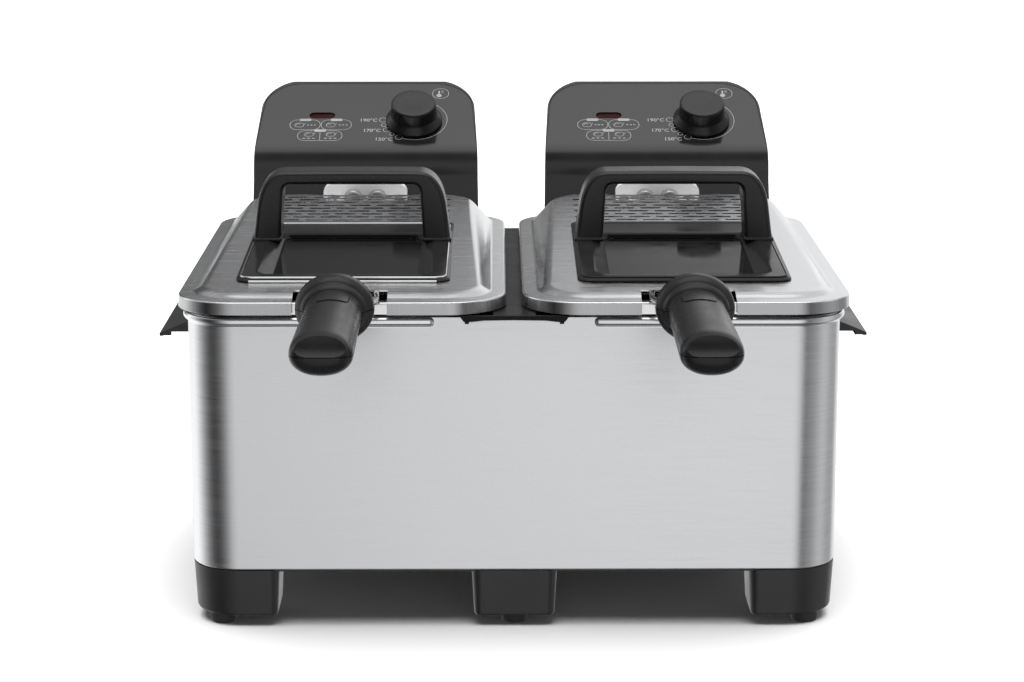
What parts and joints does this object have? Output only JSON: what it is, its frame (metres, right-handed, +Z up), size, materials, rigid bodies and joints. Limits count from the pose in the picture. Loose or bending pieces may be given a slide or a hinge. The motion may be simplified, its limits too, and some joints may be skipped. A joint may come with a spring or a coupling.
{
  "type": "deep fryer",
  "caption": "Countertop twin deep fryer: a steel housing on legs with lift-out bowls, wire baskets, heater units with knobs, and windowed lids.",
  "frame": {"origin": "on the floor, at the middle of the whole object's footprint", "axes": "+X to the right as seen by the user, +Y from the basket handles to the control units, +Z up"},
  "size_m": [0.492, 0.66, 0.3122],
  "materials": {
    "casing_steel": "fine horizontal brushing, satin",
    "lid_steel": "fine brushing, satin",
    "bowl_steel": "bright drawn stainless steel",
    "bracket_steel": "plain stainless sheet",
    "basket_wire": "bright plated wire",
    "element_metal": "dull nickel alloy sheath",
    "filter_metal": "knitted metal mesh",
    "base_plastic": "fine spark-eroded texture",
    "black_plastic": "satin moulded",
    "grip_plastic": "satin, heat resistant",
    "knob_plastic": "satin",
    "frame_gloss": "high gloss moulded",
    "panel_grey": "printed gloss panel",
    "lamp_red": "clear red lens",
    "window_glass": "dark tinted",
    "foot_rubber": "soft matt",
    "gland_rubber": "matt"
  },
  "bodies": {
    "housing": {"outer_casing": "casing_steel", "base_tray": "base_plastic", "centre_bridge": "black_plastic", "carry_handle_left": "base_plastic", "carry_handle_right": "base_plastic", "foot_front_left": "foot_rubber", "foot_front_centre": "foot_rubber", "foot_front_right": "foot_rubber", "foot_rear_left": "foot_rubber", "foot_rear_centre": "foot_rubber", "foot_rear_right": "foot_rubber", "left_guide_rail": "bracket_steel", "right_guide_rail": "bracket_steel"},
    "left_bowl": {"left_bowl": "bowl_steel"},
    "left_heater_unit": {"left_control_housing": "black_plastic", "left_control_rear_cover": "black_plastic", "left_control_fascia": "panel_grey", "left_lamp_lens": "lamp_red", "left_thermostat": "element_metal", "left_safety_cutout": "element_metal", "left_element_plate": "bracket_steel", "left_heating_element": "element_metal", "left_element_bracket": "bracket_steel", "left_thermostat_bulb": "bracket_steel", "left_cord_gland": "gland_rubber"},
    "left_knob": {"left_knob": "knob_plastic"},
    "left_basket": {"left_basket": "basket_wire", "left_basket_rods": "basket_wire", "left_grip_upper": "grip_plastic", "left_grip_lower": "grip_plastic"},
    "left_release_button": {"left_release_button": "knob_plastic"},
    "left_lid": {"left_lid_shell": "lid_steel", "left_window_frame": "frame_gloss", "left_window_glass": "window_glass", "left_lid_filter": "filter_metal"},
    "right_bowl": {"right_bowl": "bowl_steel"},
    "right_heater_unit": {"right_control_housing": "black_plastic", "right_control_rear_cover": "black_plastic", "right_control_fascia": "panel_grey", "right_lamp_lens": "lamp_red", "right_thermostat": "element_metal", "right_safety_cutout": "element_metal", "right_element_plate": "bracket_steel", "right_heating_element": "element_metal", "right_element_bracket": "bracket_steel", "right_thermostat_bulb": "bracket_steel", "right_cord_gland": "gland_rubber"},
    "right_knob": {"right_knob": "knob_plastic"},
    "right_basket": {"right_basket": "basket_wire", "right_basket_rods": "basket_wire", "right_grip_upper": "grip_plastic", "right_grip_lower": "grip_plastic"},
    "right_release_button": {"right_release_button": "knob_plastic"},
    "right_lid": {"right_lid_shell": "lid_steel", "right_window_frame": "frame_gloss", "right_window_glass": "window_glass", "right_lid_filter": "filter_metal"}
  },
  "joints": [
    {"name": "left_bowl_lift", "type": "slide", "parent": "housing", "child": "left_bowl", "axis": [0, 0, 1], "range_m": [0, 0.17]},
    {"name": "left_heater_lift", "type": "slide", "parent": "left_bowl", "child": "left_heater_unit", "axis": [0, 0, 1], "range_m": [0, 0.17]},
    {"name": "left_basket_lift", "type": "slide", "parent": "left_heater_unit", "child": "left_basket", "axis": [0, 0, 1], "range_m": [0, 0.15]},
    {"name": "left_lid_lift", "type": "slide", "parent": "left_basket", "child": "left_lid", "axis": [0, 0, 1], "range_m": [0, 0.12]},
    {"name": "left_knob_turn", "type": "hinge", "parent": "left_heater_unit", "child": "left_knob", "pos_m": [-0.077, 0.2656, 0.28775], "axis": [0, 0.5, -0.866], "range_deg": [0, 270]},
    {"name": "left_button_press", "type": "slide", "parent": "left_basket", "child": "left_release_button", "axis": [0, 0, -1], "range_m": [0, 0.003], "stiffness_N_per_m": 400, "springref_m": -0.002},
    {"name": "right_bowl_lift", "type": "slide", "parent": "housing", "child": "right_bowl", "axis": [0, 0, 1], "range_m": [0, 0.17]},
    {"name": "right_heater_lift", "type": "slide", "parent": "right_bowl", "child": "right_heater_unit", "axis": [0, 0, 1], "range_m": [0, 0.17]},
    {"name": "right_basket_lift", "type": "slide", "parent": "right_heater_unit", "child": "right_basket", "axis": [0, 0, 1], "range_m": [0, 0.15]},
    {"name": "right_lid_lift", "type": "slide", "parent": "right_basket", "child": "right_lid", "axis": [0, 0, 1], "range_m": [0, 0.12]},
    {"name": "right_knob_turn", "type": "hinge", "parent": "right_heater_unit", "child": "right_knob", "pos_m": [0.151, 0.2656, 0.28775], "axis": [0, 0.5, -0.866], "range_deg": [0, 270]},
    {"name": "right_button_press", "type": "slide", "parent": "right_basket", "child": "right_release_button", "axis": [0, 0, -1], "range_m": [0, 0.003], "stiffness_N_per_m": 400, "springref_m": -0.002}
  ]
}
